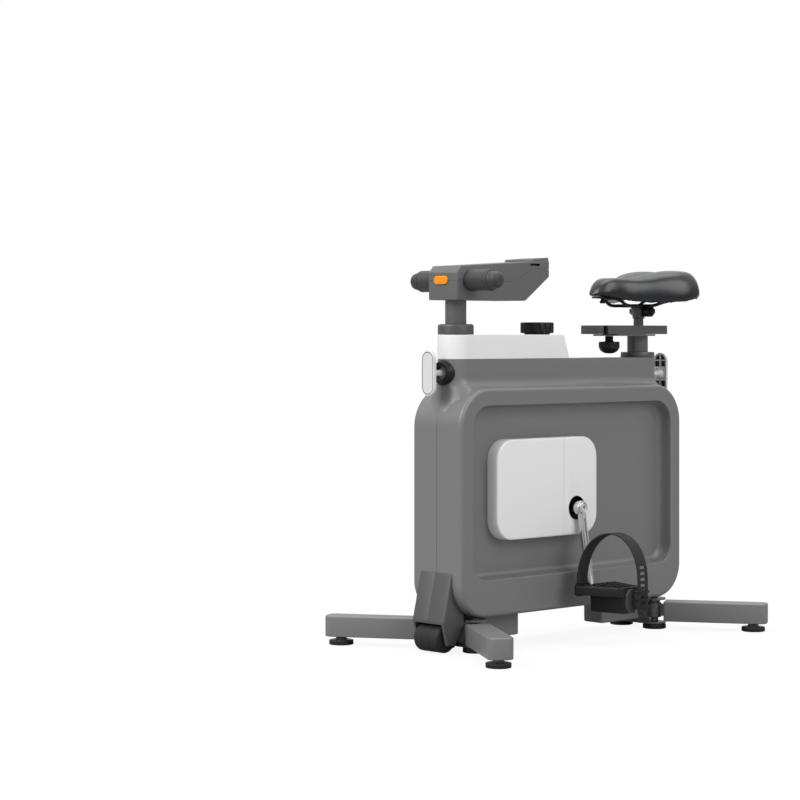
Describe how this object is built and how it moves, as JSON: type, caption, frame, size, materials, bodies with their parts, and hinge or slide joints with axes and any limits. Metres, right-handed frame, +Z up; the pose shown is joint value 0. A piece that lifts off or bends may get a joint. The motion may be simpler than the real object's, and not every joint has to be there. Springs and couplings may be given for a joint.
{
  "type": "mini exercise bike",
  "caption": "Slab-bodied upright exercise bike with swing-out legs, belt drive, sliding handlebar and saddle, strapped pedals and a transport roller.",
  "frame": {"origin": "on the floor under the middle of the bike", "axes": "+X towards the saddle end, +Y towards the right side, +Z up"},
  "size_m": [0.8276, 0.5068, 0.7777],
  "materials": {
    "body_grey": "satin",
    "leg_grey": "satin",
    "dark_plastic": "satin",
    "black_plastic": "satin",
    "white_plastic": "gloss",
    "orange_plastic": "satin",
    "rubber": "matte",
    "leatherette": "satin",
    "bright_metal": "polished",
    "steel": "satin",
    "black_metal": "satin"
  },
  "bodies": {
    "frame": {"left_shell": "body_grey", "right_shell": "body_grey", "left_crank_cover": "white_plastic", "right_crank_cover": "white_plastic", "top_cover": "white_plastic", "post_collar": "dark_plastic", "seat_collar": "dark_plastic", "front_pin_boss": "black_plastic", "roller_housing_left": "body_grey", "roller_housing_right": "body_grey", "roller_axle": "steel", "front_pivot_bracket": "black_metal", "rear_pivot_bracket": "black_metal", "front_left_pivot_foot": "rubber", "front_right_pivot_foot": "rubber", "rear_left_pivot_foot": "rubber", "rear_right_pivot_foot": "rubber", "main_frame": "steel", "bottom_bracket": "steel", "flywheel_axle": "steel", "drive_belt": "rubber"},
    "crank": {"crank_axle": "steel", "crank_pulley": "black_plastic", "left_crank": "bright_metal", "right_crank": "bright_metal", "left_crank_bolt": "bright_metal", "right_crank_bolt": "bright_metal", "left_pedal_spindle": "steel", "right_pedal_spindle": "steel"},
    "left_pedal_body": {"left_pedal": "black_plastic", "left_pedal_strap": "rubber"},
    "right_pedal_body": {"right_pedal": "black_plastic", "right_pedal_strap": "rubber"},
    "flywheel_body": {"flywheel": "steel"},
    "brake": {"brake_bracket": "steel"},
    "dial": {"resistance_dial": "black_plastic"},
    "handlebar": {"handlebar_post": "black_metal", "handlebar_lower_shell": "dark_plastic", "handlebar_upper_shell": "dark_plastic", "left_grip": "rubber", "right_grip": "rubber"},
    "button": {"release_button": "orange_plastic"},
    "front_pin": {"front_pull_knob": "white_plastic"},
    "rear_pin": {"rear_pull_knob": "white_plastic"},
    "seat_mast": {"seat_post": "black_metal"},
    "seat_slider": {"slider_block": "dark_plastic", "saddle_clamp": "black_metal"},
    "slider_lock": {"slider_knob": "black_plastic"},
    "saddle": {"saddle_rails": "black_metal", "saddle_base": "black_plastic", "saddle_cushion": "leatherette"},
    "roller": {"transport_roller": "rubber"},
    "front_left_leg_body": {"front_left_leg": "leg_grey"},
    "front_left_foot_body": {"front_left_leg_foot": "rubber"},
    "front_right_leg_body": {"front_right_leg": "leg_grey"},
    "front_right_foot_body": {"front_right_leg_foot": "rubber"},
    "rear_left_leg_body": {"rear_left_leg": "leg_grey"},
    "rear_left_foot_body": {"rear_left_leg_foot": "rubber"},
    "rear_right_leg_body": {"rear_right_leg": "leg_grey"},
    "rear_right_foot_body": {"rear_right_leg_foot": "rubber"}
  },
  "joints": [
    {"name": "crank_turn", "type": "hinge", "parent": "frame", "child": "crank", "pos_m": [0, 0, 0.27], "axis": [0, -1, 0], "continuous": true},
    {"name": "left_pedal_turn", "type": "hinge", "parent": "crank", "child": "left_pedal_body", "pos_m": [0.01245, -0.15, 0.10046], "axis": [0, 1, 0], "continuous": true},
    {"name": "right_pedal_turn", "type": "hinge", "parent": "crank", "child": "right_pedal_body", "pos_m": [-0.01245, 0.15, 0.43954], "axis": [0, 1, 0], "continuous": true},
    {"name": "flywheel_spin", "type": "hinge", "parent": "frame", "child": "flywheel_body", "pos_m": [-0.14, 0.003, 0.33], "axis": [0, -1, 0], "continuous": true},
    {"name": "dial_turn", "type": "hinge", "parent": "frame", "child": "dial", "pos_m": [-0.044, 0, 0.636], "axis": [0, 0, -1], "range_deg": [0, 270]},
    {"name": "brake_swing", "type": "hinge", "parent": "frame", "child": "brake", "pos_m": [-0.008, 0, 0.345], "axis": [0, -1, 0], "range_deg": [0, 5]},
    {"name": "handlebar_slide", "type": "slide", "parent": "frame", "child": "handlebar", "axis": [0, 0, 1], "range_m": [0, 0.15]},
    {"name": "button_press", "type": "slide", "parent": "handlebar", "child": "button", "axis": [1, 0, 0], "range_m": [0, 0.003], "stiffness_N_per_m": 500},
    {"name": "front_pin_pull", "type": "slide", "parent": "frame", "child": "front_pin", "axis": [-1, 0, 0], "range_m": [0, 0.008], "stiffness_N_per_m": 800},
    {"name": "rear_pin_pull", "type": "slide", "parent": "frame", "child": "rear_pin", "axis": [1, 0, 0], "range_m": [0, 0.008], "stiffness_N_per_m": 800},
    {"name": "seat_height", "type": "slide", "parent": "frame", "child": "seat_mast", "axis": [0, 0, 1], "range_m": [0, 0.15]},
    {"name": "seat_fore_aft", "type": "slide", "parent": "seat_mast", "child": "seat_slider", "axis": [1, 0, 0], "range_m": [-0.025, 0.025]},
    {"name": "slider_lock_turn", "type": "hinge", "parent": "seat_mast", "child": "slider_lock", "pos_m": [0.177, 0, 0.6], "axis": [0, 0, 1], "range_deg": [0, 360]},
    {"name": "saddle_tilt", "type": "hinge", "parent": "seat_slider", "child": "saddle", "pos_m": [0.271, 0, 0.6715], "axis": [0, 1, 0], "range_deg": [-10, 10]},
    {"name": "roller_turn", "type": "hinge", "parent": "frame", "child": "roller", "pos_m": [-0.335, 0, 0.0295], "axis": [0, 1, 0], "continuous": true},
    {"name": "front_left_leg_fold", "type": "hinge", "parent": "frame", "child": "front_left_leg_body", "pos_m": [-0.269, -0.046, 0.04], "axis": [0, 0, 1], "range_deg": [0, 105]},
    {"name": "front_left_foot_turn", "type": "hinge", "parent": "front_left_leg_body", "child": "front_left_foot_body", "pos_m": [-0.38228, -0.22044, 0.005], "axis": [0, 0, 1], "range_deg": [0, 360]},
    {"name": "front_right_leg_fold", "type": "hinge", "parent": "frame", "child": "front_right_leg_body", "pos_m": [-0.269, 0.046, 0.04], "axis": [0, 0, -1], "range_deg": [0, 105]},
    {"name": "front_right_foot_turn", "type": "hinge", "parent": "front_right_leg_body", "child": "front_right_foot_body", "pos_m": [-0.38228, 0.22044, 0.005], "axis": [0, 0, 1], "range_deg": [0, 360]},
    {"name": "rear_left_leg_fold", "type": "hinge", "parent": "frame", "child": "rear_left_leg_body", "pos_m": [0.269, -0.046, 0.04], "axis": [0, 0, -1], "range_deg": [0, 105]},
    {"name": "rear_left_foot_turn", "type": "hinge", "parent": "rear_left_leg_body", "child": "rear_left_foot_body", "pos_m": [0.38228, -0.22044, 0.005], "axis": [0, 0, 1], "range_deg": [0, 360]},
    {"name": "rear_right_leg_fold", "type": "hinge", "parent": "frame", "child": "rear_right_leg_body", "pos_m": [0.269, 0.046, 0.04], "axis": [0, 0, 1], "range_deg": [0, 105]},
    {"name": "rear_right_foot_turn", "type": "hinge", "parent": "rear_right_leg_body", "child": "rear_right_foot_body", "pos_m": [0.38228, 0.22044, 0.005], "axis": [0, 0, 1], "range_deg": [0, 360]}
  ],
  "couplings": [
    {"joint": "flywheel_spin", "follows": "crank_turn", "ratio": 5.1772},
    {"joint": "brake_swing", "follows": "dial_turn", "ratio": 0.018518}
  ]
}
